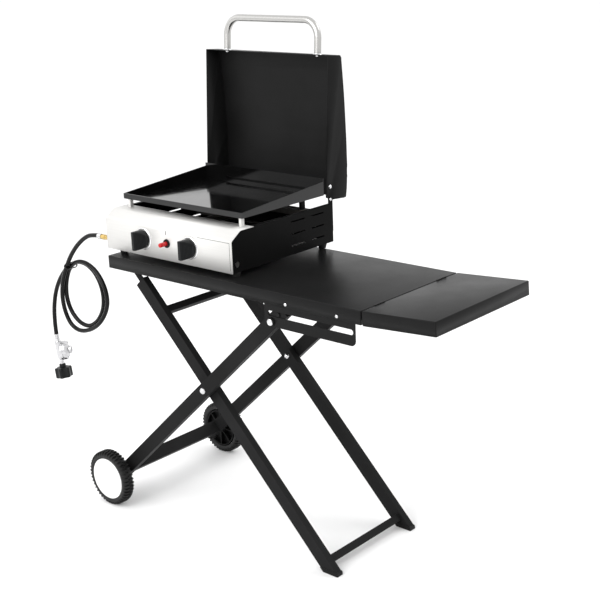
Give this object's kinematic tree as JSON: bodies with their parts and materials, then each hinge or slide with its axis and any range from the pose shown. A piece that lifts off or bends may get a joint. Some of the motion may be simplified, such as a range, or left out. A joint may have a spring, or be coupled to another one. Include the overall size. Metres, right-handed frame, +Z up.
{
  "type": "flat top griddle",
  "caption": "Flat top gas griddle with hinged lid, on a folding wheeled cart with a fold-over side shelf, gas hose and regulator.",
  "frame": {"origin": "middle of the footprint of the open cart, without the gas hose, at floor level", "axes": "+X along the table towards the side shelf, +Y from the control panel to the lid, +Z up"},
  "size_m": [1.4999, 0.5676, 1.3746],
  "materials": {
    "table_coat": "fine textured powder coat, satin",
    "leg_coat": "smooth satin powder coat",
    "zinc": "bright zinc plate",
    "black_plastic": "moulded, matte",
    "tyre": "moulded tread, matte",
    "white_plastic": "moulded, light gloss",
    "brushed_panel": "brushed along the panel",
    "body_coat": "satin black coat",
    "galvanised": "plain steel, dull",
    "rubber": "moulded",
    "brass": "machined",
    "chrome": "polished",
    "knob_plastic": "moulded, fine texture",
    "red_plastic": "moulded, gloss",
    "black_enamel": "glossy enamel",
    "lid_coat": "fine textured powder coat, satin",
    "handle_steel": "brushed round the tube",
    "hose_rubber": "extruded rubber, light sheen",
    "die_cast": "die cast, satin"
  },
  "bodies": {
    "cart": {"table_top": "table_coat", "slide_bracket_front": "table_coat", "slide_bracket_rear": "table_coat", "bracket_rivets": "zinc", "leg_hinge_brackets": "table_coat", "leg_hinge_pins": "zinc", "table_hinge_leaves": "table_coat", "shelf_hinge_pins": "zinc", "shelf_stops": "rubber", "front_panel": "brushed_panel", "side_panels": "body_coat", "back_panel": "body_coat", "bottom_pan": "brushed_panel", "rubber_feet": "rubber", "gas_manifold": "galvanised", "valves": "brass", "burners": "galvanised", "support_rails": "galvanised", "knob_bezels": "chrome", "igniter_body": "black_plastic", "griddle_plate": "black_enamel", "plate_posts": "brushed_panel", "lid_brackets": "body_coat", "lid_bolts": "zinc", "gas_fitting": "brass", "hose": "hose_rubber", "hose_tie": "black_plastic", "regulator": "die_cast"},
    "side_shelf": {"side_shelf": "table_coat", "shelf_hinge_leaves": "table_coat"},
    "foot_frame": {"foot_leg_front": "leg_coat", "foot_leg_rear": "leg_coat", "foot_leg_pivot_bars": "leg_coat", "foot_frame_bars": "leg_coat", "foot_caps": "black_plastic", "crossing_bolts": "zinc"},
    "wheel_frame": {"wheel_leg_front": "leg_coat", "wheel_leg_rear": "leg_coat", "axle_crossmember": "leg_coat", "leg_end_plugs": "black_plastic", "slide_pins": "black_plastic", "axle": "zinc", "axle_sleeves": "zinc"},
    "wheel_front": {"tyre_front": "tyre", "hub_front": "black_plastic", "hub_cap_front": "white_plastic"},
    "wheel_rear": {"tyre_rear": "tyre", "hub_rear": "black_plastic", "hub_cap_rear": "white_plastic"},
    "lid": {"lid": "lid_coat", "lid_handle": "handle_steel"},
    "spindle_left": {"spindle_left": "zinc"},
    "spindle_right": {"spindle_right": "zinc"},
    "knob_left": {"knob_left": "knob_plastic"},
    "knob_right": {"knob_right": "knob_plastic"},
    "igniter_button": {"igniter_button": "red_plastic"},
    "lock_pin_front": {"lock_pin_front": "zinc"},
    "lock_pin_rear": {"lock_pin_rear": "zinc"},
    "grease_drawer": {"grease_drawer": "body_coat"},
    "regulator_handwheel": {"regulator_handwheel": "knob_plastic"}
  },
  "joints": [
    {"name": "shelf_fold", "type": "hinge", "parent": "cart", "child": "side_shelf", "pos_m": [0.39682, -0.03054, 0.7525], "axis": [0, -1, 0], "range_deg": [0, 176]},
    {"name": "leg_fold", "type": "hinge", "parent": "cart", "child": "foot_frame", "pos_m": [-0.45039, -0.03054, 0.72385], "axis": [0, -1, 0], "range_deg": [0, 40.5]},
    {"name": "wheel_leg_fold", "type": "hinge", "parent": "foot_frame", "child": "wheel_frame", "pos_m": [-0.15818, -0.03054, 0.4244], "axis": [0, 1, 0], "range_deg": [0, 82.2]},
    {"name": "wheel_front_spin", "type": "hinge", "parent": "wheel_frame", "child": "wheel_front", "pos_m": [-0.52772, -0.26454, 0.0822], "axis": [0, 1, 0], "continuous": true},
    {"name": "wheel_rear_spin", "type": "hinge", "parent": "wheel_frame", "child": "wheel_rear", "pos_m": [-0.52772, 0.20346, 0.0822], "axis": [0, 1, 0], "continuous": true},
    {"name": "lid_hinge", "type": "hinge", "parent": "cart", "child": "lid", "pos_m": [-0.28588, 0.20646, 0.918], "axis": [1, 0, 0], "range_deg": [0, 93.8]},
    {"name": "igniter_push", "type": "slide", "parent": "cart", "child": "igniter_button", "axis": [0, 1, 0], "range_m": [0, 0.005], "stiffness_N_per_m": 400},
    {"name": "lock_pull_front", "type": "slide", "parent": "cart", "child": "lock_pin_front", "axis": [0, -1, 0], "range_m": [0, 0.008], "stiffness_N_per_m": 600},
    {"name": "lock_pull_rear", "type": "slide", "parent": "cart", "child": "lock_pin_rear", "axis": [0, 1, 0], "range_m": [0, 0.008], "stiffness_N_per_m": 600},
    {"name": "drawer_slide", "type": "slide", "parent": "cart", "child": "grease_drawer", "axis": [0, 1, 0], "range_m": [0, 0.03]},
    {"name": "handwheel_turn", "type": "hinge", "parent": "cart", "child": "regulator_handwheel", "pos_m": [-0.86317, -0.15254, 0.31635], "axis": [-0.1564, 0, 0.9877], "continuous": true},
    {"name": "knob_left_turn", "type": "hinge", "parent": "cart", "child": "spindle_left", "pos_m": [-0.37738, -0.20754, 0.812], "axis": [0, -1, 0], "range_deg": [0, 180]},
    {"name": "knob_left_push", "type": "slide", "parent": "spindle_left", "child": "knob_left", "axis": [0, 1, 0], "range_m": [0, 0.003], "stiffness_N_per_m": 500},
    {"name": "knob_right_turn", "type": "hinge", "parent": "cart", "child": "spindle_right", "pos_m": [-0.19538, -0.20754, 0.812], "axis": [0, -1, 0], "range_deg": [0, 180]},
    {"name": "knob_right_push", "type": "slide", "parent": "spindle_right", "child": "knob_right", "axis": [0, 1, 0], "range_m": [0, 0.003], "stiffness_N_per_m": 500}
  ],
  "couplings": [
    {"joint": "wheel_leg_fold", "follows": "leg_fold", "ratio": 2.027}
  ]
}
